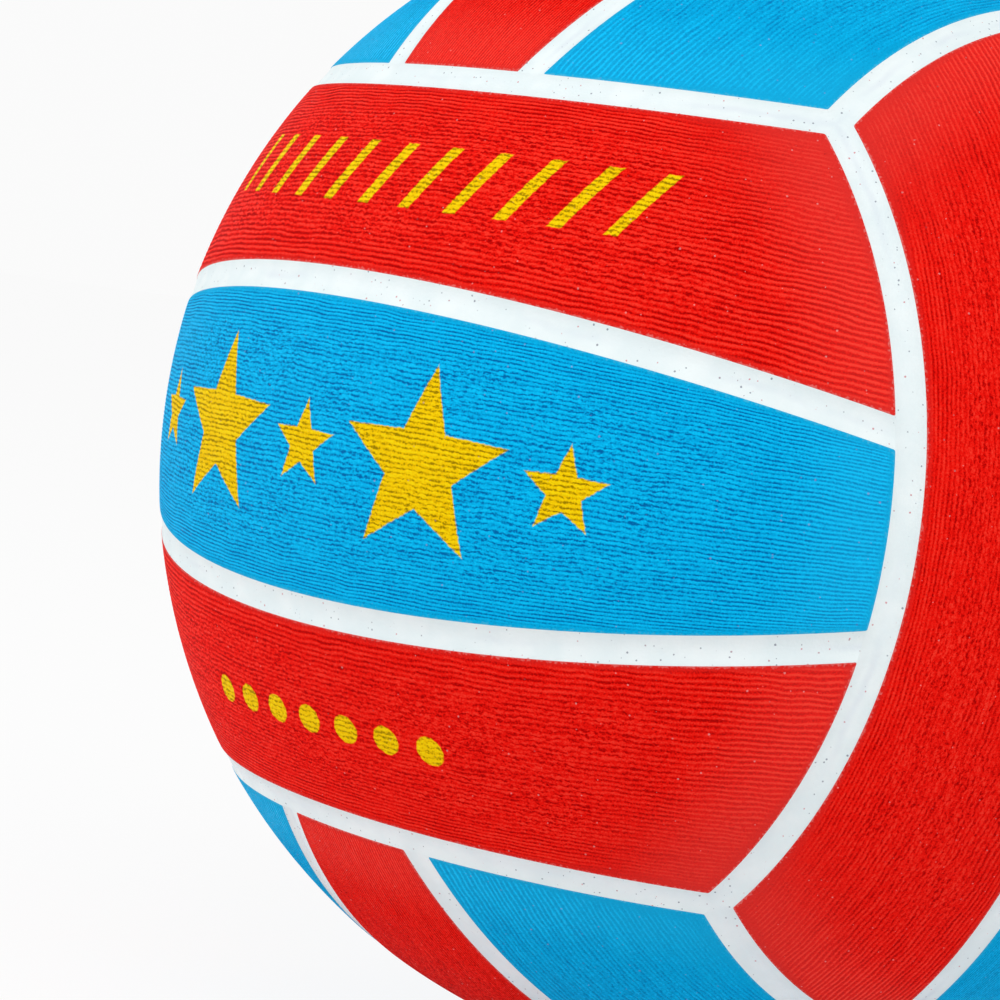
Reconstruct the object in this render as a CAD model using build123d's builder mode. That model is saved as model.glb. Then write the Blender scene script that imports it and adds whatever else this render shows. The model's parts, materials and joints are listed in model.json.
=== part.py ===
"""Water polo ball: a rubber cover of panels and sunk seam strips round a wound bladder with a valve.

The origin is the centre of the ball. +Z points up through the valve, -Y is the front and +X the right.
The cover follows a cube: six faces of three parallel strips, and each face's strips run square to those
of its neighbours.
"""

import os
from math import asin, atan, cos, degrees, radians, sin, sqrt

from build123d import *

os.makedirs("parts", exist_ok=True)

# Driving dimensions, in millimetres and degrees

ball_diameter = 221.2

# Cover
cover_thickness = 1.2
seam_width = 5.0
inner_seam_angle = 14.3  # from a face's centre line to the seam inside that face
seam_depth = 0.55  # middle of a seam below the ball's surface
seam_edge_depth = 0.2  # edges of a seam below the ball's surface
side_gap = 0.05  # between a panel and the strip beside it
mitre_gap = 0.04  # between two strips that meet at a corner
panel_corner_radius = 1.0
panel_rim_radius = 0.35

# Layers under the cover
carcass_thickness = 0.4
winding_thickness = 0.35
bladder_thickness = 0.55
bond_gap = 0.05

# Valve
neck_radius = 4.5
neck_gap = 0.05
neck_recess = 0.2
flange_radius = 16.0
flange_thickness = 1.2
stem_radius = 6.5
stem_length = 17.0
air_hole_radius = 1.0
insert_length = 15.0
insert_radius = 2.5
insert_head_radius = 3.2
insert_head_thickness = 1.2
insert_clearance = 0.05
insert_tip_chamfer = 0.5
needle_bore_radius = 0.95
needle_bore_length = 8.0
funnel_radius = 1.7
funnel_depth = 0.8
slit_width = 2.4
slit_thickness = 0.2

# Balance patch
patch_radius = 20.0
patch_thickness = 2.2

# Worked out from the driving dimensions

ball_radius = ball_diameter / 2
cover_inner_radius = ball_radius - cover_thickness
carcass_outer_radius = cover_inner_radius - bond_gap
carcass_inner_radius = carcass_outer_radius - carcass_thickness
winding_outer_radius = carcass_inner_radius - bond_gap
winding_inner_radius = winding_outer_radius - winding_thickness
bladder_outer_radius = winding_inner_radius - bond_gap
bladder_inner_radius = bladder_outer_radius - bladder_thickness
lining_radius = bladder_inner_radius - bond_gap

# Three face borders meet at each corner of the cube, which sets their latitude as seen from the face beside
border_latitude = degrees(asin(1 / sqrt(3)))
face_half_angle = 90 - border_latitude
corner_angle = degrees(atan(1))
half_seam = seam_width / 2
panel_inset = half_seam + side_gap
panel_inset_angle = degrees(asin(panel_inset / ball_radius))
end_trim_angle = 2.0

# Cones that trim the cover start under it and end above it by its own thickness
trim_inner_radius = cover_inner_radius - cover_thickness
trim_outer_radius = ball_radius + cover_thickness

neck_hole_radius = neck_radius + neck_gap
neck_top = ball_radius - neck_recess

# Each face's outward direction, the direction of its strips, and the names of its two outer sides. The
# first side lies along the outward direction crossed with the strip direction.
faces = {
    "front": ((0, -1, 0), (1, 0, 0), ("upper", "lower")),
    "back": ((0, 1, 0), (-1, 0, 0), ("upper", "lower")),
    "right": ((1, 0, 0), (0, 0, 1), ("front", "back")),
    "left": ((-1, 0, 0), (0, 0, -1), ("front", "back")),
    "top": ((0, 0, 1), (0, -1, 0), ("right", "left")),
    "bottom": ((0, 0, -1), (0, 1, 0), ("right", "left")),
}
valve_face = "top"


def height_on_sphere(radius, distance):
    """How far a sphere of this radius reaches at this distance from its axis."""
    return sqrt(radius**2 - distance**2)


def on_circle(radius, latitude):
    """Point of a circle round the sketch's origin, at this angle above the sketch's X axis."""
    return (radius * cos(radians(latitude)), radius * sin(radians(latitude)))


def ring_section(inner_radius, outer_radius, start_angle, end_angle):
    """Part of a ring round the sketch's origin, between two angles from the sketch's Y axis towards X."""
    with BuildSketch() as section:
        with BuildLine():
            outer = CenterArc((0, 0), outer_radius, 90 - end_angle, end_angle - start_angle)
            inner = CenterArc((0, 0), inner_radius, 90 - end_angle, end_angle - start_angle)
            Line(outer @ 0, inner @ 0)
            Line(outer @ 1, inner @ 1)
        make_face()
    return section.sketch


def seam_section(latitude):
    """Seam strip cut across: hollow on top, round underneath to lie on the carcass, with parallel sides.

    The sketch's Y axis is the axis that the strip bends round, and `latitude` is the angle of the strip's
    middle above the plane that is square to that axis.
    """
    edge_radius = ball_radius - seam_edge_depth
    middle_radius = ball_radius - seam_depth
    top_half_angle = degrees(asin(half_seam / edge_radius))
    under_half_angle = degrees(asin(half_seam / cover_inner_radius))
    under_start = latitude - under_half_angle
    with BuildSketch() as section:
        with BuildLine():
            top = ThreePointArc(
                on_circle(edge_radius, latitude - top_half_angle),
                on_circle(middle_radius, latitude),
                on_circle(edge_radius, latitude + top_half_angle),
            )
            underside = CenterArc((0, 0), cover_inner_radius, under_start, 2 * under_half_angle)
            Line(top @ 0, underside @ 0)
            Line(top @ 1, underside @ 1)
        make_face()
    return section.sketch


def shell_section(inner_radius, outer_radius):
    """Half of a hollow ball cut through its axis, with the hole for the valve's neck at the top."""
    with BuildSketch() as section:
        with BuildLine():
            outer = ThreePointArc(
                (neck_hole_radius, height_on_sphere(outer_radius, neck_hole_radius)),
                (outer_radius, 0),
                (0, -outer_radius),
            )
            inner = ThreePointArc(
                (neck_hole_radius, height_on_sphere(inner_radius, neck_hole_radius)),
                (inner_radius, 0),
                (0, -inner_radius),
            )
            Line(outer @ 0, inner @ 0)
            Line(outer @ 1, inner @ 1)
        make_face()
    return section.sketch


def direction(plane, along, across, outward):
    """Unit vector that is given in a face's own directions."""
    return plane.from_local_coords(Vector(along, across, outward)).normalized()


def axial_plane(radial, axis):
    """Plane through the ball's centre with its X along `radial` and its Y along `axis`."""
    return Plane(origin=(0, 0, 0), x_dir=radial, z_dir=radial.cross(axis))


def seam_wall(normal):
    """Cutting plane beside a seam inside a face, as far from the seam's middle as a panel starts."""
    return Plane(origin=normal * panel_inset, z_dir=normal)


def mitre(plane, along, across, outward):
    """Cutting plane half the mitre gap from a corner of the cube, its normal in a face's directions."""
    normal = direction(plane, along, across, outward)
    return Plane(origin=normal * mitre_gap / 2, z_dir=normal)


def finish(piece, name):
    """Name a finished piece and write it out."""
    piece.label = name
    export_step(piece, f"parts/{name}.step")


tilt_sine = sin(radians(inner_seam_angle))
tilt_cosine = cos(radians(inner_seam_angle))

for face_name, (outward, along, side_names) in faces.items():
    # X along the face's strips, Y across them and Z outwards
    plane = Plane(origin=(0, 0, 0), x_dir=along, z_dir=outward)
    strip_axis = Axis((0, 0, 0), plane.x_dir)
    seam_axes = {side: direction(plane, 0, side * tilt_cosine, -tilt_sine) for side in (1, -1)}

    # The face's ends and its borders are cones that stand on the ball's centre: an axis and a half angle
    face_end = (plane.z_dir, face_half_angle - panel_inset_angle)
    borders = {side: (plane.y_dir * -side, 90 + border_latitude - panel_inset_angle) for side in (1, -1)}

    # What bounds each panel: cones, and the seams inside the face with the side of each that is kept
    panel_limits = {"middle": ([face_end], {1: -1, -1: -1})}
    for side, side_name in zip((1, -1), side_names):
        panel_limits[side_name] = ([face_end, borders[side]], {side: 1})

    # Panels: a ball-shaped sheet from corner to corner of the face, trimmed to each strip
    for panel_name, (cones, seam_sides) in panel_limits.items():
        with BuildPart() as panel:
            with BuildSketch(axial_plane(plane.x_dir, direction(plane, 0, -1, 1))):
                add(ring_section(cover_inner_radius, ball_radius, -face_half_angle, face_half_angle))
            revolve(axis=strip_axis, revolution_arc=-2 * corner_angle)
            for cone_axis, half_angle in cones:
                with BuildSketch(axial_plane(plane.x_dir, cone_axis)):
                    add(ring_section(trim_inner_radius, trim_outer_radius, 0, half_angle))
                revolve(axis=Axis((0, 0, 0), cone_axis), mode=Mode.INTERSECT)
            for side, kept_side in seam_sides.items():
                split(bisect_by=seam_wall(seam_axes[side] * kept_side), keep=Keep.TOP)
            inner_surface, outer_surface = panel.faces().filter_by(GeomType.SPHERE).sort_by(SortBy.AREA)
            corner_edges = panel.edges() - inner_surface.edges() - outer_surface.edges()
            fillet(corner_edges, panel_corner_radius)
            outer_surface = panel.faces().filter_by(GeomType.SPHERE).sort_by(SortBy.AREA)[-1]
            fillet(outer_surface.edges(), panel_rim_radius)
            if face_name == valve_face and panel_name == "middle":
                with BuildSketch(plane):
                    Circle(neck_hole_radius)
                extrude(amount=trim_outer_radius, mode=Mode.SUBTRACT)
        finish(panel.part, f"{face_name}_{panel_name}_panel")

    for side, side_name in zip((1, -1), side_names):
        # Seam strip inside the face: bends round a tilted axis and butts on the border strips at its ends
        seam_axis = seam_axes[side]
        seam_outward = direction(plane, 0, side * tilt_sine, tilt_cosine)
        start = plane.x_dir * sin(radians(face_half_angle)) + seam_outward * cos(radians(face_half_angle))
        end_axis, end_angle = face_end
        with BuildPart() as inner_seam:
            with BuildSketch(axial_plane(start, seam_axis)):
                add(seam_section(0))
            revolve(axis=Axis((0, 0, 0), seam_axis), revolution_arc=-side * 2 * face_half_angle)
            with BuildSketch(axial_plane(plane.x_dir, end_axis)):
                add(ring_section(trim_inner_radius, trim_outer_radius, 0, end_angle))
            revolve(axis=Axis((0, 0, 0), end_axis), mode=Mode.INTERSECT)
        finish(inner_seam.part, f"{face_name}_{side_name}_seam")

        # Border strip: between this face's outer panel and the ends of the next face's panels, mitred at
        # both ends against the two other border strips that meet it there
        border_axis = plane.y_dir * side
        half_turn = corner_angle + end_trim_angle
        start = plane.x_dir * sin(radians(half_turn)) + plane.z_dir * cos(radians(half_turn))
        with BuildPart() as border_seam:
            with BuildSketch(axial_plane(start, border_axis)):
                add(seam_section(border_latitude))
            revolve(axis=Axis((0, 0, 0), border_axis), revolution_arc=-side * 2 * half_turn)
            for end in (1, -1):
                split(bisect_by=mitre(plane, -2 * end, side, 1), keep=Keep.TOP)
                split(bisect_by=mitre(plane, -end, -side, 2), keep=Keep.TOP)
        finish(border_seam.part, f"{face_name}_{side_name}_border")

# Carcass: the rubber layer that the cover is bonded to
with BuildPart() as carcass:
    with BuildSketch(Plane.XZ):
        add(shell_section(carcass_inner_radius, carcass_outer_radius))
    revolve(axis=Axis.Z)
finish(carcass.part, "carcass")

# Nylon winding: thread laid over the bladder in every direction, here one even layer
with BuildPart() as nylon_winding:
    with BuildSketch(Plane.XZ):
        add(shell_section(winding_inner_radius, winding_outer_radius))
    revolve(axis=Axis.Z)
finish(nylon_winding.part, "nylon_winding")

# Bladder: the air chamber
with BuildPart() as bladder:
    with BuildSketch(Plane.XZ):
        add(shell_section(bladder_inner_radius, bladder_outer_radius))
    revolve(axis=Axis.Z)
finish(bladder.part, "bladder")

# Valve housing: a flange on the inside of the bladder, a neck out through every layer, and a stem inwards
flange_under_radius = lining_radius - flange_thickness
stem_bottom = height_on_sphere(flange_under_radius, stem_radius) - stem_length
flange_middle_radius = (stem_radius + flange_radius) / 2
seat_middle_radius = (neck_radius + flange_radius) / 2
insert_bottom = neck_top - insert_length
with BuildPart() as valve_housing:
    with BuildSketch(Plane.XZ):
        with BuildLine():
            Polyline(
                (stem_radius, height_on_sphere(flange_under_radius, stem_radius)),
                (stem_radius, stem_bottom),
                (0, stem_bottom),
                (0, neck_top),
                (neck_radius, neck_top),
                (neck_radius, height_on_sphere(lining_radius, neck_radius)),
            )
            seat = ThreePointArc(
                (neck_radius, height_on_sphere(lining_radius, neck_radius)),
                (seat_middle_radius, height_on_sphere(lining_radius, seat_middle_radius)),
                (flange_radius, height_on_sphere(lining_radius, flange_radius)),
            )
            underside = ThreePointArc(
                (stem_radius, height_on_sphere(flange_under_radius, stem_radius)),
                (flange_middle_radius, height_on_sphere(flange_under_radius, flange_middle_radius)),
                (flange_radius, height_on_sphere(flange_under_radius, flange_radius)),
            )
            Line(seat @ 1, underside @ 1)
        make_face()
    revolve(axis=Axis.Z)
    with Locations((0, 0, neck_top)):
        CounterBoreHole(
            radius=insert_radius + insert_clearance,
            counter_bore_radius=insert_head_radius + insert_clearance,
            counter_bore_depth=insert_head_thickness + insert_clearance,
            depth=insert_length + insert_clearance,
        )
    with BuildSketch(Plane.XY.offset(stem_bottom)):
        Circle(air_hole_radius)
    extrude(amount=insert_bottom - stem_bottom, mode=Mode.SUBTRACT)
finish(valve_housing.part, "valve_housing")

# Valve insert: a headed plug with a bore for the inflating needle, closed below by a slit
bore_top = neck_top - funnel_depth
bore_bottom = bore_top - needle_bore_length
with BuildPart() as valve_insert:
    with BuildSketch(Plane.XZ):
        with BuildLine():
            Polyline(
                (needle_bore_radius, bore_bottom),
                (needle_bore_radius, bore_top),
                (funnel_radius, neck_top),
                (insert_head_radius, neck_top),
                (insert_head_radius, neck_top - insert_head_thickness),
                (insert_radius, neck_top - insert_head_thickness),
                (insert_radius, insert_bottom + insert_tip_chamfer),
                (insert_radius - insert_tip_chamfer, insert_bottom),
                (0, insert_bottom),
                (0, bore_bottom),
                close=True,
            )
        make_face()
    revolve(axis=Axis.Z)
    with BuildSketch(Plane.XY.offset(insert_bottom)):
        Rectangle(slit_width, slit_thickness)
    extrude(amount=bore_bottom - insert_bottom, mode=Mode.SUBTRACT)
finish(valve_insert.part, "valve_insert")

# Balance patch: a disc on the inside of the bladder, opposite the valve
patch_half_angle = degrees(asin(patch_radius / lining_radius))
with BuildPart() as balance_patch:
    with BuildSketch(Plane.XZ):
        add(ring_section(lining_radius - patch_thickness, lining_radius, 180 - patch_half_angle, 180))
    revolve(axis=Axis.Z)
finish(balance_patch.part, "balance_patch")
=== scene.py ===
"""Water polo ball: a ribbed rubber cover in red and blue strips, with white seams, on a wound bladder.

Lengths are in metres in the model's own frame. The origin is the ball's centre, +Z points up through
the valve, -Y is the front and +X the right.
"""

import json
from math import asin, atan, cos, pi, radians, sin, sqrt

import bmesh
import bpy
import numpy as np
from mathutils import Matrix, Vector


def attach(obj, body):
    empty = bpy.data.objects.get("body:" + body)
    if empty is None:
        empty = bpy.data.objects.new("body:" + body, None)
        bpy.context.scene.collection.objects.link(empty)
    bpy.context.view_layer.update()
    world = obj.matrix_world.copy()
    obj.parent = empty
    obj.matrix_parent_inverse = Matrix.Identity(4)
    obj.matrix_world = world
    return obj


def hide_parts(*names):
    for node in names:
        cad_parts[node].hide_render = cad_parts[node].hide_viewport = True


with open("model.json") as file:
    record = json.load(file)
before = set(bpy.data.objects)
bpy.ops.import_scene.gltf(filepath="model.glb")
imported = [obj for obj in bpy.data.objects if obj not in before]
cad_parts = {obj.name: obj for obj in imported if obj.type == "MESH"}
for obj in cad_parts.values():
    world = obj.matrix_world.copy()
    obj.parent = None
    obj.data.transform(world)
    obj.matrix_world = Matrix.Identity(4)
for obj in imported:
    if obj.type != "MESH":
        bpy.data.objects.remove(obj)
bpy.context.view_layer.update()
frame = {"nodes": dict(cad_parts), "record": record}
millimetre = 0.001

# Bladder
# The air chamber: a hollow ball of black butyl rubber, moulded in one piece. It lies inside the winding
# and is dusted with talc so that the thread doesn't stick to it.


class Wire:
    """A socket in a material's nodes. Arithmetic on it adds Math nodes, and plain numbers mix in."""

    def __init__(self, tree, socket=None):
        self.tree = tree
        self.socket = socket

    def node(self, kind, settings, sockets, output=0):
        """Add a node of this kind: its settings are set first, then its sockets' values or links."""
        added = self.tree.nodes.new("ShaderNode" + kind)
        for name, setting in settings.items():
            setattr(added, name, setting)
        for name, value in sockets.items():
            if isinstance(value, Wire):
                self.tree.links.new(value.socket, added.inputs[name])
            else:
                added.inputs[name].default_value = value
        return Wire(self.tree, added.outputs[output] if added.outputs else None)

    def math(self, operation, *values):
        return self.node("Math", {"operation": operation}, dict(enumerate(values)))

    def __add__(self, other):
        return self.math("ADD", self, other)

    def __radd__(self, other):
        return self.math("ADD", other, self)

    def __sub__(self, other):
        return self.math("SUBTRACT", self, other)

    def __rsub__(self, other):
        return self.math("SUBTRACT", other, self)

    def __mul__(self, other):
        return self.math("MULTIPLY", self, other)

    def __rmul__(self, other):
        return self.math("MULTIPLY", other, self)

    def __truediv__(self, other):
        return self.math("DIVIDE", self, other)

    def __rtruediv__(self, other):
        return self.math("DIVIDE", other, self)

    def __abs__(self):
        return self.math("ABSOLUTE", self)

    def ramp(self, start, end):
        """0 before start and 1 after end, with a soft bend at both."""
        settings = {"interpolation_type": "SMOOTHSTEP"}
        return self.node("MapRange", settings, {"Value": self, "From Min": start, "From Max": end})

    def mixed(self, first, second):
        """The first colour where this value is 0 and the second where it is 1."""
        return self.node("Mix", {"data_type": "RGBA"}, {0: self, 6: first, 7: second}, output=2)

    def place(self):
        """Where a point lies in the model's frame."""
        return self.node("TexCoord", {}, {}, output="Object")

    def attribute(self, name):
        """A value that is written on the piece's own mesh."""
        return self.node("Attribute", {"attribute_name": name}, {}, output="Fac")

    def grain(self, vector, grain_size, detail=2.0):
        """Cloudy noise from 0 to 1 whose patches are about this large."""
        return self.node("TexNoise", {}, {"Vector": vector, "Scale": 1 / grain_size, "Detail": detail})

    def looked_at(self):
        """1 for rays that show a surface, straight or reflected, and 0 for those that only light one."""
        kinds = ("Is Camera Ray", "Is Glossy Ray", "Is Transmission Ray")
        straight, mirrored, through = (self.node("LightPath", {}, {}, output=kind) for kind in kinds)
        return self.math("MAXIMUM", self.math("MAXIMUM", straight, mirrored), through)

    def finish(self, surface, roughness, height, depth, specular=0.5):
        """The material's surface: its colour, its roughness and the relief drawn by height times depth."""
        relief = self.node("Bump", {}, {"Height": height, "Distance": depth, "Strength": 1.0})
        rubber = self.node("BsdfPrincipled", {}, {
            "Base Color": surface,
            "Roughness": roughness,
            "Specular IOR Level": specular,
            "Normal": relief,
        })
        self.node("OutputMaterial", {}, {"Surface": rubber})


def colour(red, green, blue):
    """A colour as it looks on a screen, 0 to 255, in the linear numbers that a shader takes."""
    shares = np.array([red, green, blue]) / 255
    linear = np.where(shares <= 0.04045, shares / 12.92, ((shares + 0.055) / 1.055) ** 2.4)
    return (*linear.tolist(), 1.0)


def new_material(name):
    """An empty material and the start of its wiring."""
    material = bpy.data.materials.new(name)
    material.use_nodes = True
    material.node_tree.nodes.clear()
    return material, Wire(material.node_tree)


def dress(node, material):
    """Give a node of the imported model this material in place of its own."""
    mesh = frame["nodes"][node].data
    mesh.materials.clear()
    mesh.materials.append(material)


def butyl_rubber(name, dust_size):
    """Black rubber with a thin uneven film of talc."""
    material, start = new_material(name)
    place = start.place()
    dust = start.grain(place, dust_size, detail=5.0).ramp(0.45, 0.8)
    relief = start.grain(place, 0.4 * millimetre)
    film = dust.mixed(colour(30, 30, 32), colour(92, 91, 90))
    start.finish(film, 0.55 + 0.3 * dust, relief, 0.05 * millimetre)
    return material


dress("bladder", butyl_rubber("talced_butyl", 9 * millimetre))

# Balance patch
# A disc of the same butyl rubber, punched from sheet and bonded to the inside of the bladder opposite
# the valve, so that the ball floats and spins true.

dress("balance_patch", butyl_rubber("punched_butyl", 3 * millimetre))

# Valve housing
# A seat for the valve, moulded from firm grey rubber and bonded to the inside of the bladder by its
# flange. Its neck comes out through every layer, flush with the cover.


def moulded_rubber(name, shade, polish):
    """Plain moulded rubber: a fine even grain and a little bloom on the surface."""
    material, start = new_material(name)
    place = start.place()
    bloom = start.grain(place, 2.5 * millimetre, detail=4.0).ramp(0.3, 0.75)
    relief = start.grain(place, 0.25 * millimetre)
    paler = [min(255, 1.25 * value + 8) for value in shade]
    surface = bloom.mixed(colour(*shade), colour(*paler))
    start.finish(surface, polish + 0.2 * bloom, relief, 0.03 * millimetre)
    return material


dress("valve_housing", moulded_rubber("valve_housing_rubber", (46, 48, 52), 0.45))

# Nylon winding
# Kilometres of white nylon thread, wound round the bladder in great circles of every direction and set
# with latex. It keeps the ball round.

thread_pitch = 1.1 * millimetre
thread_depth = 0.3 * millimetre
winding_directions = ((0.2, 0.3, 0.93), (0.95, -0.2, 0.25), (-0.3, 0.9, 0.3), (0.6, 0.55, -0.58))


def wound_thread(name):
    """Threads seen as fine ridges square to each winding direction; the highest layer wins."""
    material, start = new_material(name)
    place = start.place()
    top = None
    for direction in winding_directions:
        vectors = {0: place, 1: direction}
        across = start.node("VectorMath", {"operation": "DOT_PRODUCT"}, vectors, output="Value")
        strand = abs(start.math("SINE", across * (pi / thread_pitch)))
        layer = strand * (0.5 + 0.5 * start.grain(place, 12 * millimetre).ramp(0.35, 0.65))
        top = layer if top is None else start.math("MAXIMUM", top, layer)
    surface = top.ramp(0.1, 0.7).mixed(colour(120, 104, 70), colour(226, 222, 208))
    start.finish(surface, 0.5, top, thread_depth)
    return material


dress("nylon_winding", wound_thread("wound_nylon"))

# Carcass
# A thin layer of black rubber, vulcanised over the winding. The cover panels and the seam strips are
# bonded to it.

dress("carcass", moulded_rubber("carcass_rubber", (34, 33, 34), 0.6))

# Seam strips
# Narrow strips of white rubber, bonded to the carcass between the panels and pressed hollow by the mould.
# Two run inside each face and butt on the strips along its borders, which meet three by three in a
# mitred Y.

resting_point = next(m for m in frame["record"]["mounts"] if m["name"] == "resting_point")
ball_radius = -resting_point["pos_m"][2]
cover_thickness = 1.2 * millimetre
cover_inner_radius = ball_radius - cover_thickness

seam_width = 5.0 * millimetre
seam_edge_depth = 0.12 * millimetre
seam_middle_depth = 0.36 * millimetre
seam_shaded_depth = 0.5 * millimetre  # by which a bump makes the hollow look deeper at a strip's edges
seam_grain_depth = 0.05 * millimetre
tongue_width = 0.3 * millimetre  # of each edge, under the rolled edge of a panel
tongue_slope = 0.6
joint_slope = 0.05  # of a border strip's tongue where it lies under the end of another seam
inner_seam_angle = radians(14.3)  # from a face's centre line to the seam inside that face
border_latitude = asin(1 / sqrt(3))  # of a face's border, seen from the strip that runs along it
mitre_turn = atan(0.5)
face_half_angle = pi / 2 - border_latitude
seam_half_angle = asin(seam_width / 2 / ball_radius)
seam_steps = 200
seam_points_across = 19
sharp_edge = radians(50)

tilt_sine = sin(inner_seam_angle)
tilt_cosine = cos(inner_seam_angle)

# Each face's outward direction, the direction of its strips, and the names of its two outer sides. The
# first side lies along the outward direction crossed with the strip direction
faces = {
    "front": ((0, -1, 0), (1, 0, 0), ("upper", "lower")),
    "back": ((0, 1, 0), (-1, 0, 0), ("upper", "lower")),
    "right": ((1, 0, 0), (0, 0, 1), ("front", "back")),
    "left": ((-1, 0, 0), (0, 0, -1), ("front", "back")),
    "top": ((0, 0, 1), (0, -1, 0), ("right", "left")),
    "bottom": ((0, 0, -1), (0, 1, 0), ("right", "left")),
}


def on_ball(axes, turn, latitude, radius):
    """Points of the ball, turned from outwards towards the strip's direction and raised by latitude.

    The axes are the strip's direction, the axis that it bends round and the outward direction.
    """
    turn, latitude, radius = np.broadcast_arrays(turn, latitude, radius)
    level = radius * np.cos(latitude)
    local = np.stack([level * np.sin(turn), radius * np.sin(latitude), level * np.cos(turn)], axis=-1)
    return local @ np.array(axes, dtype=float)


def closed_mesh(name, points, polygons):
    """A mesh of these points and polygons, with its faces pointing outwards."""
    mesh = bpy.data.meshes.new(name)
    mesh.from_pydata(points, [], polygons)
    shell = bmesh.new()
    shell.from_mesh(mesh)
    bmesh.ops.recalc_face_normals(shell, faces=shell.faces)
    shell.to_mesh(mesh)
    shell.free()
    mesh.shade_smooth()
    return mesh


def hollow(distance):
    """Depth of a seam's surface this far from its middle: a parabola, then a tongue that slopes away."""
    share = np.abs(distance) / (seam_width / 2)
    inside = seam_middle_depth - (seam_middle_depth - seam_edge_depth) * share**2
    tongue = seam_edge_depth + tongue_slope * (np.abs(distance) - seam_width / 2)
    return np.where(share < 1, inside, tongue)


def inner_seam_depth(turn, latitude):
    """Depth along a seam inside a face, which is the same from end to end."""
    return hollow(ball_radius * latitude) + 0 * turn


def border_depth(turn, latitude):
    """Depth along a border strip, where the seams inside the next face run out into it.

    Those seams lie on great circles that cross the border where the distances below are nothing. The
    deeper of the two hollows holds.
    """
    across_border = ball_radius * (latitude - border_latitude)
    sideways, upwards = np.cos(latitude) * np.sin(turn), np.sin(latitude)
    joining = ball_radius * (tilt_cosine * np.abs(sideways) - tilt_sine * upwards)
    joint = np.where((across_border > 0) & (np.abs(joining) < seam_width / 2), hollow(joining), 0)
    beyond = np.maximum(across_border - seam_width / 2, 0)
    return np.maximum(hollow(across_border), joint + joint_slope * beyond)


def seam_strip(name, axes, latitude, end_turn, depth):
    """A strip of hollow section bent round the ball, closed by its underside, its sides and its two ends.

    Along the strip the turn runs evenly between both ends, and end_turn gives the turn at which each line
    along the strip ends. The attribute "across" runs from -1 at one side to 1 at the other.
    """
    half_angle = asin((seam_width / 2 + tongue_width) / ball_radius)
    across = np.linspace(-1, 1, seam_points_across)
    there_and_back = np.concatenate([across, across[::-1]])
    ring_latitude = latitude + half_angle * there_and_back
    turn = np.linspace(-1, 1, seam_steps)[:, None] * end_turn(ring_latitude)
    corners = len(there_and_back)
    top = np.arange(corners) < seam_points_across
    radius = np.where(top, ball_radius - depth(turn, ring_latitude), cover_inner_radius)
    rings = on_ball(axes, turn, ring_latitude, radius)

    index = np.arange(seam_steps * corners).reshape(seam_steps, corners)
    following = np.roll(index, -1, axis=1)
    sides = np.stack([index[:-1], following[:-1], following[1:], index[1:]], axis=-1).reshape(-1, 4)
    ends = index[[0, -1]]
    upper, lower = ends[:, :seam_points_across], ends[:, :seam_points_across - 1:-1]
    caps = np.stack([upper[:, :-1], upper[:, 1:], lower[:, 1:], lower[:, :-1]], axis=-1).reshape(-1, 4)
    mesh = closed_mesh(name, rings.reshape(-1, 3), np.concatenate([sides, caps]).tolist())
    mesh.set_sharp_from_angle(angle=sharp_edge)
    across_values = np.tile(there_and_back, seam_steps).astype(np.float32)
    mesh.attributes.new("across", "FLOAT", "POINT").data.foreach_set("value", across_values)
    return mesh


def border_end(latitude):
    """Turn at which a border strip ends: on whichever of the corner's two mitre planes comes first."""
    lean = np.arcsin(np.tan(latitude) / sqrt(5))
    return np.minimum(mitre_turn + lean, pi / 2 - mitre_turn - lean)


def inner_seam_end(latitude):
    """Turn at which a seam inside a face ends: on the cone that the face's borders stand on."""
    end_cosine = cos(face_half_angle - seam_half_angle)
    return np.arccos((end_cosine + np.sin(latitude) * tilt_sine) / (np.cos(latitude) * tilt_cosine))


def add_piece(name, mesh, material, node):
    """Put a new piece in the scene on the ball's body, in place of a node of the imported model."""
    piece = bpy.data.objects.new(name, mesh)
    bpy.context.scene.collection.objects.link(piece)
    mesh.materials.append(material)
    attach(piece, "ball")
    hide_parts(node)


def specks(start, place, spacing, size):
    """1 on small uneven specks about this far apart, and a number from 0 to 1 for the kind of each."""
    clouds = {"Vector": place, "Scale": 1 / size, "Detail": 1.0}
    wobble = start.node("TexNoise", {}, clouds, output="Color")
    moved = start.node("VectorMath", {"operation": "MULTIPLY_ADD"}, {0: wobble, 1: 3 * (size,), 2: place})
    cells = {"Vector": moved, "Scale": 1 / spacing}
    distance = start.node("TexVoronoi", {}, cells, output="Distance")
    tint = start.node("TexVoronoi", {}, cells, output="Color")
    kind = start.node("SeparateColor", {}, {"Color": tint}, output="Red")
    chance = start.node("SeparateColor", {}, {"Color": tint}, output="Green")
    reach = size / spacing
    return 1 - (distance / (0.35 + chance * chance)).ramp(0.7 * reach, 1.1 * reach), kind


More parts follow.
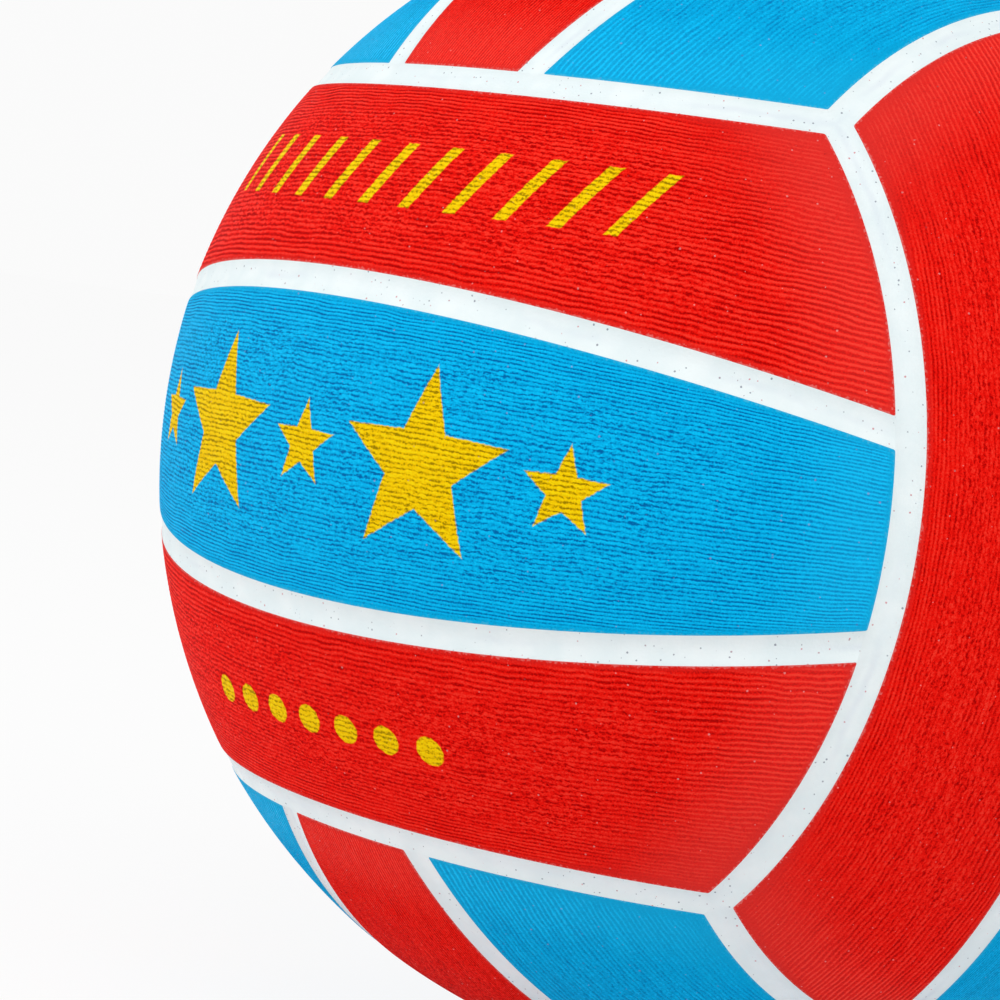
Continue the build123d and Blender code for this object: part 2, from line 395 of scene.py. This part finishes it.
def white_rubber(name):
    """White rubber with a bluish cast, crumbs of the coloured rubber pressed in, painted shade and a
    grain.

    A line of painted shade, bluish grey, wanders along the middle of the strip and comes and goes. A bump,
    the square of the share of the way across, shades the hollow deeper than it is.
    """
    material, start = new_material(name)
    place = start.place()
    across = start.attribute("across")
    cloud = start.grain(place, 6 * millimetre, detail=4.0)
    grain = start.grain(place, 0.5 * millimetre, detail=3.0)
    white = cloud.ramp(0.3, 0.75).mixed(colour(236, 248, 250), colour(245, 254, 255))
    # Painted shade: a bluish-grey line that wanders along the bottom of the hollow
    bent = across + 0.8 * (start.grain(place, 8 * millimetre) - 0.5)
    painted_crease_shade = (1 - abs(bent).ramp(0.0, 0.4)) * start.grain(place, 25 * millimetre).ramp(0.48, 0.7)
    white = (0.25 * painted_crease_shade).mixed(white, colour(204, 212, 228))
    crumb, kind = specks(start, place, 1.05 * millimetre, 0.15 * millimetre)
    crumb_colour = kind.ramp(0.6, 0.8).mixed(colour(84, 92, 116), colour(206, 64, 78))
    surface = (0.7 * crumb).mixed(white, crumb_colour)
    relief = grain + 0.5 * cloud + seam_shaded_depth / seam_grain_depth * across * across
    start.finish(surface, 0.5 + 0.15 * grain, relief, seam_grain_depth, specular=0.1)
    return material


seam_rubber = white_rubber("white_seam_rubber")

for face_name, (outward, along, side_names) in faces.items():
    outward, along = np.array(outward), np.array(along)
    across = np.cross(outward, along)
    for side, side_name in zip((1, -1), side_names):
        tilted_axes = (along, side * tilt_cosine * across - tilt_sine * outward,
                       side * tilt_sine * across + tilt_cosine * outward)
        name = f"{face_name}_{side_name}_white_seam"
        inner_seam = seam_strip(name, tilted_axes, 0, inner_seam_end, inner_seam_depth)
        add_piece(name, inner_seam, seam_rubber, f"{face_name}_{side_name}_seam")
        border_axes = (along, side * across, outward)
        name = f"{face_name}_{side_name}_white_border"
        border = seam_strip(name, border_axes, border_latitude, border_end, border_depth)
        add_piece(name, border, seam_rubber, f"{face_name}_{side_name}_border")

# Cover panels
# Eighteen strips of soft red or blue rubber, moulded with a fine cord-like ribbing that runs along each
# strip for grip. They are bonded to the carcass edge to edge with the seam strips. Three on the front
# carry a yellow print.

panel_end_angle = face_half_angle - seam_half_angle
rim_width = 0.35 * millimetre  # of the rolled edge, and the radius of a panel's corners
rim_drop = 0.06 * millimetre
rim_steps = 6
rib_height = 0.04 * millimetre  # from the middle of a rib to its crest
rows_per_rib = 4
column_width = 1.6 * millimetre
underside_step = 8  # rows of the outside to one row of the underside
slack = 0.15 * millimetre  # how much flatter than the ball a panel's middle lies
outline_rounds = 12  # in which a panel's turn and latitude are settled
neck_hole_radius = 4.55 * millimetre
drill_sides = 96

# Ribs across the middle of a strip, and how many of them end at the seams where the strip narrows: at 0
# every rib runs from end to end, and at 1 the ribs keep their width
strip_ribs = {"middle": (67, 0.6), "outer": (41, 0.7)}

# How much the ribs crowd: the cosine is the width of the narrowest rib over that of the widest. The
# widest lies in the middle of a middle strip, and beside the inner seam of an outer one
rib_crowding = {"middle": radians(49), "outer": radians(45)}

# Where the ribbing changes: at the first distance from an edge, end or corner it begins to, and at the
# second it is done
ribs_from_edge = (0.28 * millimetre, 0.98 * millimetre)
tall_ribs_from_end = (4 * millimetre, 16 * millimetre)
# Near a strip's end the grooves' painted shade is weaker and the crests' painted highlight stronger
groove_shade_from_end = (3 * millimetre, 20 * millimetre)
clear_ribs_from_corner = (5 * millimetre, 32 * millimetre)
weave_from_side = (2 * millimetre, 9 * millimetre)
weave_from_end = (10 * millimetre, 40 * millimetre)

# The ribs waver in long and short waves, and the weave is stronger in some patches than in others
long_wave = 22 * millimetre
short_wave = 8 * millimetre
weave_patch = 30 * millimetre
wave_count = 7


def panel_edges(kind, turn):
    """Latitudes of a panel's two long edges at each turn from the strip's middle.

    An edge beside a seam inside the face is a small circle, half a seam's width from the seam's great
    circle. An edge beside a border is a circle of latitude.
    """
    lean = np.arctan2(tilt_sine * np.cos(turn), tilt_cosine)
    reach = np.hypot(tilt_sine * np.cos(turn), tilt_cosine)
    margin = np.arcsin(sin(seam_half_angle) / reach)
    if kind == "middle":
        return margin - lean, lean - margin
    return lean + margin, np.full_like(turn, border_latitude - seam_half_angle)


def rib_share(kind, share):
    """Share of a strip's ribs that lies before this share of its width, from an arc sine."""
    crowding = rib_crowding[kind]
    if kind == "middle":
        return 0.5 + np.arcsin(np.clip(2 * share - 1, -1, 1) * sin(crowding)) / crowding / 2
    return np.arcsin(np.clip(share, 0, 1) * sin(crowding)) / crowding


def width_share_at(kind, share):
    """Share of a strip's width that lies before this share of its ribs, the inverse of rib_share."""
    crowding = rib_crowding[kind]
    if kind == "middle":
        return 0.5 + 0.5 * np.sin((2 * share - 1) * crowding) / sin(crowding)
    return np.sin(share * crowding) / sin(crowding)


def soft_step(value, start, end):
    """0 before start and 1 after end, with a soft bend at both."""
    share = np.clip((value - start) / (end - start), 0, 1)
    return share * share * (3 - 2 * share)


def ripple(along, across, wavelength, seed):
    """Smooth waves of about this length and about 1 high: a sum of sines in several directions."""
    draw = np.random.default_rng(seed)
    turns = draw.uniform(0, pi, wave_count)
    phases = draw.uniform(0, 2 * pi, wave_count)
    stretches = draw.uniform(0.6, 1.6, wave_count)
    total = np.zeros_like(along)
    for turn, phase, stretch in zip(turns, phases, stretches):
        number = 2 * pi * stretch / wavelength
        total += np.sin(number * (np.cos(turn) * along + np.sin(turn) * across) + phase)
    return total / sqrt(wave_count)


def strip_facts(kind, seed, turn, latitude):
    """What a panel's relief and colour need at each point, in metres, ribs and shares.

    Ribs are counted from the strip's middle line. Their number across the strip follows its width, to the
    power that strip_ribs gives. They crowd as rib_share says, and they waver a little.
    """
    low, high = panel_edges(kind, turn)
    reach = np.arccos(cos(panel_end_angle) / np.cos(latitude))
    middle_low, middle_high = panel_edges(kind, np.zeros_like(turn))
    ribs, gather = strip_ribs[kind]
    width_share = (high - low) / (middle_high - middle_low)
    along = ball_radius * turn * np.cos(latitude)
    across = ball_radius * (latitude - (middle_low + middle_high) / 2)
    side_room = ball_radius * np.minimum(latitude - low, high - latitude)
    end_room = ball_radius * (reach - np.abs(turn)) * np.cos(latitude)
    waver = 0.16 * ripple(along, across * 1.6, long_wave, seed)
    waver = waver + 0.1 * ripple(along, across, short_wave, seed + 1)
    share = (latitude - low) / (high - low)
    crowded = rib_share(kind, share) - 0.5
    patch = 0.5 + 0.35 * ripple(along, across, weave_patch, seed + 2)
    border_room = ball_radius * (high - latitude)
    from_corner = np.hypot(np.maximum(border_room, 0), np.maximum(end_room, 0))
    corner = 1 - soft_step(from_corner, *clear_ribs_from_corner)
    weave = soft_step(side_room, *weave_from_side) * soft_step(end_room, *weave_from_end)
    return {
        "along": along,
        "across": across,
        "share_along": 0.5 + 0.5 * turn / reach,
        "share_across": share,
        "rim": np.minimum(side_room, end_room),
        "end_room": end_room,
        "rib": crowded * ribs * width_share**gather + waver,
        "weave": weave * (0.65 + 0.35 * np.clip(patch, 0, 1)),
        "end": 1 - soft_step(end_room, *groove_shade_from_end),
        "corner": corner if kind == "outer" else 0 * corner,
    }


def spaced(middle_count):
    """Lines from one edge of a panel to the other: steps round the rolled edge, even steps, the far edge.

    Returns each line's share of the way across the middle part, and its distance inside the two rolled
    edges.
    """
    bend = np.linspace(0, pi / 2, rim_steps + 1)[:-1]
    rim = rim_width * (1 - np.cos(bend))
    middle = np.linspace(0, 1, middle_count + 1)
    share = np.concatenate([np.zeros(rim_steps), middle, np.ones(rim_steps)])
    inset = np.concatenate([rim, np.full(middle_count + 1, rim_width), 2 * rim_width - rim[::-1]])
    return share, inset


def panel_grid(kind, row_count, column_count):
    """Turn, latitude and distance inside the edge for a grid of points that fits a panel's outline.

    Rows run along the strip from edge to edge, and columns across it from end to end. Turn and latitude
    depend on each other at the outline, so they are settled in rounds. In each corner the square of the
    rolled edges is drawn in to a quarter disc, which rounds the corner.
    """
    row_share, row_inset = spaced(row_count)
    row_share = width_share_at(kind, row_share)
    column_share, column_inset = spaced(column_count)
    row_share, column_share = np.meshgrid(row_share, column_share, indexing="ij")
    row_inset, column_inset = np.meshgrid(row_inset, column_inset, indexing="ij")

    near_row = np.minimum(row_inset, 2 * rim_width - row_inset)
    near_column = np.minimum(column_inset, 2 * rim_width - column_inset)
    from_row, from_column = rim_width - near_row, rim_width - near_column
    largest = np.maximum(from_row, from_column)
    drawn_in = largest / np.maximum(np.hypot(from_row, from_column), 1e-12)
    row_inset = rim_width + np.sign(row_inset - rim_width) * from_row * drawn_in
    column_inset = rim_width + np.sign(column_inset - rim_width) * from_column * drawn_in

    rim = rim_width / ball_radius
    turn = np.zeros_like(row_share)
    for _ in range(outline_rounds):
        low, high = panel_edges(kind, turn)
        latitude = low + row_inset / ball_radius + row_share * (high - low - 2 * rim)
        level = ball_radius * np.cos(latitude)
        reach = np.arccos(cos(panel_end_angle) / np.cos(latitude))
        turn = -reach + column_inset / level + column_share * (2 * reach - 2 * rim_width / level)
    return turn, latitude, rim_width - largest


def panel_shell(name, kind, axes, seed):
    """A closed sheet: ribbed outside, rolled edge, side walls and a smooth underside with fewer rows.

    The outside lies on the ball, less the drop of the rolled edge, a quarter ellipse, and the slack in
    the middle, plus the ribs, a cosine of the rib count that fades out towards the edge and the ends.
    """
    ribs = strip_ribs[kind][0]
    length = 2 * ball_radius * panel_end_angle
    turn, latitude, edge = panel_grid(kind, rows_per_rib * ribs, round(length / column_width))
    facts = strip_facts(kind, seed, turn, latitude)
    drop = rim_drop * (1 - np.sqrt(1 - (1 - np.clip(edge / rim_width, 0, 1)) ** 2))
    fade = soft_step(facts["rim"], *ribs_from_edge)
    ends = 0.6 + 0.4 * soft_step(facts["end_room"], *tall_ribs_from_end)
    woven = 1 - 0.45 * facts["weave"]
    ribbing = -rib_height * fade * ends * woven * np.cos(2 * pi * facts["rib"])
    sag = slack * np.sin(pi * facts["share_across"]) * np.sin(pi * facts["share_along"])
    outside = on_ball(axes, turn, latitude, ball_radius - drop - sag + ribbing - rib_height)
    underside = on_ball(axes, turn, latitude, cover_inner_radius)

    rows, columns = turn.shape
    outer = np.arange(rows * columns).reshape(rows, columns)
    kept = np.zeros((rows, columns), dtype=bool)
    kept[::underside_step] = True
    kept[:, [0, -1]] = True
    inner = np.full((rows, columns), -1)
    inner[kept] = outer.size + np.arange(kept.sum())

    def cells(index):
        corners = [index[:-1, :-1], index[:-1, 1:], index[1:, 1:], index[1:, :-1]]
        return np.stack(corners, axis=-1).reshape(-1, 4)

    def wall(outer_line, inner_line):
        return np.stack([outer_line[:-1], outer_line[1:], inner_line[1:], inner_line[:-1]], axis=-1)

    lines = [(0, slice(None)), (-1, slice(None)), (slice(None), 0), (slice(None), -1)]
    quads = [cells(outer), cells(inner[::underside_step, 1:-1])]
    quads += [wall(outer[line], inner[line]) for line in lines]

    # At both ends the underside's cells take in every row of the end line
    starts = np.arange(0, rows - 1, underside_step)
    stretch = starts[:, None] + np.arange(underside_step + 1)
    fans = []
    for end, beside in ((0, 1), (-1, -2)):
        far, near = inner[starts + underside_step, beside], inner[starts, beside]
        fans.append(np.concatenate([inner[stretch, end], far[:, None], near[:, None]], axis=1))
    points = np.concatenate([outside.reshape(-1, 3), underside[kept]])
    polygons = np.concatenate(quads).tolist() + np.concatenate(fans).tolist()
    return closed_mesh(name, points, polygons)


def pierce(mesh, radius):
    """The mesh with a round hole along +Z at the top of the ball, for the neck of the valve."""
    turns = np.linspace(0, 2 * pi, drill_sides + 1)[:-1]
    ring = radius * np.stack([np.cos(turns), np.sin(turns)], axis=-1)
    levels = (ball_radius - 4 * cover_thickness, ball_radius + cover_thickness)
    points = np.concatenate([np.column_stack([ring, np.full(drill_sides, level)]) for level in levels])
    lower = np.arange(drill_sides)
    upper = lower + drill_sides
    sides = np.stack([lower, np.roll(lower, -1), np.roll(upper, -1), upper], axis=-1).tolist()
    drill_mesh = closed_mesh("drill", points, sides + [lower.tolist(), upper.tolist()])
    drill = bpy.data.objects.new("drill", drill_mesh)
    blank = bpy.data.objects.new("blank", mesh)
    for helper in (drill, blank):
        bpy.context.scene.collection.objects.link(helper)
    cut = blank.modifiers.new("neck_hole", "BOOLEAN")
    cut.operation = "DIFFERENCE"
    cut.solver = "EXACT"
    cut.object = drill
    drilled = blank.evaluated_get(bpy.context.evaluated_depsgraph_get())
    pierced = bpy.data.meshes.new_from_object(drilled)
    for helper in (drill, blank):
        bpy.data.objects.remove(helper)
    return pierced


# Facts of a strip that its material reads from the mesh
strip_attributes = ("rib", "rim", "weave", "end", "corner")

# The low corner and the size of the outside's and the underside's share of the square map "OFBake"
outside_share = (np.array([0.01, 0.12]), np.array([0.98, 0.87]))
underside_share = (np.array([0.01, 0.01]), np.array([0.98, 0.07]))


def mark_out(mesh, kind, axes, seed):
    """Write the strip's own coordinates on a panel's mesh, worked out from where each vertex lies.

    The UV map "strip" holds millimetres along and across. The attributes hold the rib count, the distance
    from the edge in millimetres, how broken the ribbing is, and how near the strip's end and the corner
    of its face are. The map "OFBake" spreads the outside over most of a square and the underside over a
    band below it.
    """
    count = len(mesh.vertices)
    points = np.empty(count * 3, dtype=np.float32)
    mesh.vertices.foreach_get("co", points)
    local = points.reshape(-1, 3).astype(float) @ np.array(axes, dtype=float).T
    radius = np.linalg.norm(local, axis=1)
    turn = np.arctan2(local[:, 0], local[:, 2])
    latitude = np.arcsin(local[:, 1] / radius)
    facts = strip_facts(kind, seed, turn, latitude)

    corner_vertex = np.empty(len(mesh.loops), dtype=np.int32)
    mesh.loops.foreach_get("vertex_index", corner_vertex)
    corner_counts = np.empty(len(mesh.polygons), dtype=np.int32)
    mesh.polygons.foreach_get("loop_total", corner_counts)
    under = radius[corner_vertex] < ball_radius - 0.9 * cover_thickness
    first_corner = np.cumsum(corner_counts) - corner_counts
    under_face = np.repeat(np.logical_and.reduceat(under, first_corner), corner_counts)

    strip = np.stack([facts["along"], facts["across"]], axis=-1)[corner_vertex] / millimetre
    mesh.uv_layers.new(name="strip").uv.foreach_set("vector", strip.astype(np.float32).ravel())
    spread = np.stack([facts["share_along"], facts["share_across"]], axis=-1)[corner_vertex].clip(0, 1)
    outside_map, underside_map = (low + spread * size for low, size in (outside_share, underside_share))
    baked = np.where(under_face[:, None], underside_map, outside_map)
    mesh.uv_layers.new(name="OFBake").uv.foreach_set("vector", baked.astype(np.float32).ravel())

    facts["rim"] = facts["rim"] / millimetre
    for name in strip_attributes:
        values = facts[name].astype(np.float32)
        mesh.attributes.new(name, "FLOAT", "POINT").data.foreach_set("value", values)


# Sizes of the print and of the ribs' pattern, in millimetres on a strip
star_places_and_sizes = ((0.0, 7.5), (26.0, 16.5), (52.0, 7.5))
star_notch = 0.42  # of a star's size, from its centre to the notch between two points
stroke_slant = 0.45  # millimetres along for each one across
stroke_narrowing = 0.9  # about the cosine of the slant
stroke_half_spacing = 5.0
stroke_half_width = 1.15
stroke_half_height = 6.0
stroke_row_half_length = 51
dot_half_spacing = 4.5
dot_radius = 2.6
dot_row_half_length = 32
bead_length = 0.9  # along a rib from one bead to the next
run_length = 7.0  # along a groove before its depth changes


def stars(start, along, across):
    """Distance outside the print of the middle strip: five-pointed stars, large and small by turns."""
    outline = None
    for centre, size in star_places_and_sizes:
        sideways = abs(along) - centre
        radius = start.math("SQRT", sideways * sideways + across * across)
        angle = start.math("ARCTAN2", sideways, across)
        fold = start.math("PINGPONG", angle + 2 * pi, pi / 5)
        # The straight line from a point of the star to the notch beside it
        point = np.array([size, 0])
        notch = star_notch * size * np.array([cos(pi / 5), sin(pi / 5)])
        line = (notch - point) / np.linalg.norm(notch - point)
        normal = np.array([line[1], -line[0]])
        towards = radius * start.math("COSINE", fold)
        sidewards = radius * start.math("SINE", fold)
        star = normal[0] * towards + normal[1] * sidewards - float(normal @ point)
        outline = star if outline is None else start.math("MINIMUM", outline, star)
    return outline


def slanted_strokes(start, along, across):
    """Distance outside the print of the upper strip: a row of slanted strokes."""
    upright = along - stroke_slant * across
    from_stroke = start.math("PINGPONG", upright, stroke_half_spacing)
    stroke = stroke_narrowing * from_stroke - stroke_half_width
    row = start.math("MAXIMUM", stroke, abs(across) - stroke_half_height)
    return start.math("MAXIMUM", row, abs(upright) - stroke_row_half_length)


def dots(start, along, across):
    """Distance outside the print of the lower strip: a row of dots."""
    sideways = start.math("PINGPONG", along, dot_half_spacing)
    dot = start.math("SQRT", sideways * sideways + across * across) - dot_radius
    return start.math("MAXIMUM", dot, abs(along) - dot_row_half_length)


# Colours of the ribs: painted shade in the grooves, the middle, and a painted highlight on the crests; of
# the smooth band beside the edge, of the thin pale edge and of two kinds of specks. The plain blue strips
# have paler painted shade in their grooves
red_tones = {
    "groove_shade": (172, 0, 0),
    "middle": (244, 18, 8),
    "crest_highlight": (255, 56, 40),
    "smooth": (218, 42, 36),
    "edge": (236, 130, 124),
    "dark_speck": (112, 20, 36),
    "pale_speck": (244, 190, 188),
}
blue_tones = {
    "groove_shade": (0, 104, 172),
    "middle": (0, 176, 236),
    "crest_highlight": (6, 200, 255),
    "smooth": (4, 172, 224),
    "edge": (80, 190, 226),
    "dark_speck": (92, 84, 176),
    "pale_speck": (190, 132, 186),
}
plain_blue_tones = blue_tones | {"groove_shade": (0, 128, 192), "middle": (0, 172, 230)}
ink_tones = {"groove_shade": (160, 130, 0), "middle": (248, 200, 0), "crest_highlight": (255, 222, 8)}


def ribbed_rubber(name, tones, print_outline, rib_relief_and_shade, breaking):
    """Soft coloured rubber with cord-like ribs: painted shade in the grooves, a painted highlight on the
    crests, and a weave that breaks them.

    A groove lies where the rib count is whole. Where the ribbing is woven, noise with long narrow patches
    pushes the grooves sideways and breaks them into dashes. The fourth argument scales both the ribs' bump
    and their painted shade and highlight, and the fifth the weave.
    """
    material, start = new_material(name)
    place = start.place()
    strip = start.node("UVMap", {"uv_map": "strip"}, {})
    along = start.node("SeparateXYZ", {}, {"Vector": strip}, output="X")
    across = start.node("SeparateXYZ", {}, {"Vector": strip}, output="Y")
    rib, rim, weave, end, corner = (start.attribute(fact) for fact in strip_attributes)

    def rib_noise(length, width, level):
        """Noise whose patches are so many millimetres long and so many ribs wide; levels differ."""
        where = {"X": along / length, "Y": rib / width, "Z": level}
        return start.grain(start.node("CombineXYZ", {}, where), 1.0) - 0.5

    patch = start.grain(place, 9 * millimetre, detail=3.0).ramp(0.3, 0.7)
    woven = weave * (0.4 + 0.6 * patch)
    moved = rib + (0.2 + 1.5 * breaking * woven) * rib_noise(1.1, 0.8, 3.0)
    groove_number = start.math("ROUND", moved)
    profile = abs(moved - groove_number).ramp(0.0, 0.46) - 0.5
    run = start.node("CombineXYZ", {}, {"X": along / run_length, "Y": groove_number * 3.7, "Z": 6.0})
    deeper = start.grain(run, 1.0).ramp(0.25, 0.75)
    bead = rib_noise(bead_length, 0.8, 9.0)
    fine = start.grain(place, 0.3 * millimetre, detail=1.0) - 0.5
    streak = rib_noise(10.0, 2.2, 15.0)
    inside = (rim / (1 + 1.5 * corner)).ramp(0.0, 1.5)
    ribbed = rib_relief_and_shade * inside * (1 - 0.2 * breaking * woven) * (1 - 0.6 * corner)
    ribbed = ribbed * (0.6 + 0.6 * deeper)
    level = 0.5 + profile * ribbed + inside * (0.5 + 1.8 * woven) * bead + 1.4 * fine + 0.8 * streak
    # Painted shade towards the grooves, weaker near the ends; a painted highlight on the crests, stronger
    # there
    depth = (1 - level.ramp(-0.2, 0.6)) * (1 - 0.45 * end)
    painted_glint = level.ramp(0.45, 1.3) + end * inside * (profile + bead).ramp(0.2, 0.55)

    shades = {part: colour(*tone) for part, tone in tones.items()}
    if print_outline is not None:
        ragged = print_outline(start, along, across) + 0.5 * (start.grain(place, 0.8 * millimetre) - 0.5)
        ink = 1 - ragged.ramp(-0.15, 0.15)
        shades |= {part: ink.mixed(shades[part], colour(*tone)) for part, tone in ink_tones.items()}
    surface = painted_glint.mixed(shades["middle"], shades["crest_highlight"])
    surface = depth.mixed(surface, shades["groove_shade"])
    # Beside the edge and in the corners the colour gives way to a plain, darker and duller tone
    smooth_band_share = 0.65 - 0.65 * inside + 0.4 * corner * inside
    surface = smooth_band_share.mixed(surface, shades["smooth"])
    # A thin pale edge with a ragged inner line
    frayed = rim + 1.8 * (start.grain(place, 0.5 * millimetre) - 0.5)
    pale_edge_share = 0.55 - 0.55 * frayed.ramp(0.0, 0.35) + 0.06 * end
    surface = pale_edge_share.mixed(surface, shades["edge"])
    crumb, kind = specks(start, place, 1.6 * millimetre, 0.16 * millimetre)
    crumb_colour = kind.ramp(0.2, 0.6).mixed(shades["dark_speck"], shades["pale_speck"])
    surface = (0.4 * crumb).mixed(surface, crumb_colour)
    relief = 0.12 * fine + 0.1 * bead + 0.03 * profile * ribbed
    start.finish(surface, 0.7 - 0.2 * painted_glint, relief, millimetre, specular=0.03)
    return material


# The print of each strip on the front, the strength of its ribs' bump and painted shade, and their
# breaking
front_prints = {
    "upper": (slanted_strokes, 1.2, 1.2),
    "middle": (stars, 1.1, 1.0),
    "lower": (dots, 0.9, 1.5),
}
# Off the front the ribs carry weaker painted shade and highlight, for the way the light falls on them
# there
plain_rubber = {
    "cover_red": ribbed_rubber("red_ribbed_rubber", red_tones, None, 0.7, 1.6),
    "cover_blue": ribbed_rubber("blue_ribbed_rubber", plain_blue_tones, None, 0.6, 1.6),
}

for face_number, (face_name, (outward, along, side_names)) in enumerate(faces.items()):
    outward, along = np.array(outward), np.array(along)
    across = np.cross(outward, along)
    blue_sides = face_name in ("top", "bottom")
    for side, strip_name in zip((0, 1, -1), ("middle", *side_names)):
        kind = "outer" if side else "middle"
        slot = "cover_red" if blue_sides != bool(side) else "cover_blue"
        seed = 100 + 10 * face_number + side
        axes = (along, across if side >= 0 else -across, outward)
        name = f"{face_name}_{strip_name}_ribbed_panel"
        panel = panel_shell(name, kind, axes, seed)
        if face_name == "top" and side == 0:
            panel = pierce(panel, neck_hole_radius)
        mark_out(panel, kind, axes, seed)
        rubber = plain_rubber[slot]
        if face_name == "front":
            tones = red_tones if slot == "cover_red" else blue_tones
            rubber = ribbed_rubber(f"printed_{strip_name}_rubber", tones, *front_prints[strip_name])
        add_piece(name, panel, rubber, f"{face_name}_{strip_name}_panel")

# Valve insert
# A self-closing plug of soft black rubber, pushed into the housing. The inflating needle goes in through
# its bore, and the slit below closes behind it.

dress("valve_insert", moulded_rubber("valve_insert_rubber", (24, 24, 26), 0.4))

# Floor
# A plain white studio floor that the ball rests on. It runs on into a white background and takes the
# ball's shadow.

floor_half_size = 6.0
floor_glow_share = 0.9


def studio_white(name):
    """White paint that looks nearly pure white, with a share of real light so that the shadow stays."""
    material, start = new_material(name)
    paint = start.node("BsdfDiffuse", {}, {"Color": colour(250, 250, 250)})
    glow = start.node("Emission", {}, {"Color": (1, 1, 1, 1), "Strength": 1.0})
    surface = start.node("MixShader", {}, {0: floor_glow_share * start.looked_at(), 1: paint, 2: glow})
    start.node("OutputMaterial", {}, {"Surface": surface})
    return material


floor_corners = floor_half_size * np.array([[-1, -1, 0], [1, -1, 0], [1, 1, 0], [-1, 1, 0]])
floor_mesh = bpy.data.meshes.new("studio_floor")
floor_mesh.from_pydata(floor_corners - np.array([0, 0, ball_radius]), [], [[0, 1, 2, 3]])
floor_mesh.materials.append(studio_white("studio_white"))
floor = bpy.data.objects.new("studio_floor", floor_mesh)
bpy.context.scene.collection.objects.link(floor)

# Light
# Even light from a white room, a large soft box above the camera and a little to its right, and a weaker
# one low on its left.

room_light = 0.555
room_white = 0.96  # what the camera sees of the room

world = bpy.data.worlds.new("white_room")
bpy.context.scene.world = world
world.use_nodes = True
world.node_tree.nodes.clear()
room = Wire(world.node_tree)
lit = room.node("Background", {}, {"Color": (1, 1, 1, 1), "Strength": room_light})
seen = room.node("Background", {}, {"Color": (1, 1, 1, 1), "Strength": room_white})
lit_or_seen = room.node("MixShader", {}, {0: room.looked_at(), 1: lit, 2: seen})
room.node("OutputWorld", {}, {"Surface": lit_or_seen})


def soft_box(name, position, size, power):
    """A square area lamp that faces the ball."""
    lamp = bpy.data.lights.new(name, "AREA")
    lamp.size = size
    lamp.energy = power
    box = bpy.data.objects.new(name, lamp)
    bpy.context.scene.collection.objects.link(box)
    box.location = position
    box.rotation_euler = Vector(position).to_track_quat("Z", "Y").to_euler()


soft_box("key_box", (0.8, -0.55, 1.2), 1.2, 10.0)
soft_box("left_box", (-0.9, -0.85, 0.15), 1.0, 5.0)

# Camera
# A long lens at the photograph's viewing angle, turned a little about its own line of sight. Its place
# is given from the ball's centre, in ball radii.

lens = 109.83
sensor_width = 36.0
clip_start = 0.01
back = np.array([0.7156, -0.6952, 0.0681])
roll = radians(8.40)
back_offset, right_offset, up_offset = 5.25056, -0.41955, -0.02760

back = back / np.linalg.norm(back)
level_right = np.cross([0, 0, 1], back)
level_right = level_right / np.linalg.norm(level_right)
level_up = np.cross(back, level_right)
right = cos(roll) * level_right + sin(roll) * level_up
up = np.cross(back, right)
position = ball_radius * (back_offset * back + right_offset * right + up_offset * up)

camera_data = bpy.data.cameras.new("camera")
camera_data.lens = lens
camera_data.sensor_width = sensor_width
camera_data.clip_start = clip_start
camera = bpy.data.objects.new("camera", camera_data)
bpy.context.scene.collection.objects.link(camera)
stand = np.eye(4)
stand[:3, 0], stand[:3, 1], stand[:3, 2], stand[:3, 3] = right, up, back, position
camera.matrix_world = Matrix(stand.tolist())
bpy.context.scene.camera = camera
bpy.context.scene.view_settings.view_transform = "Standard"
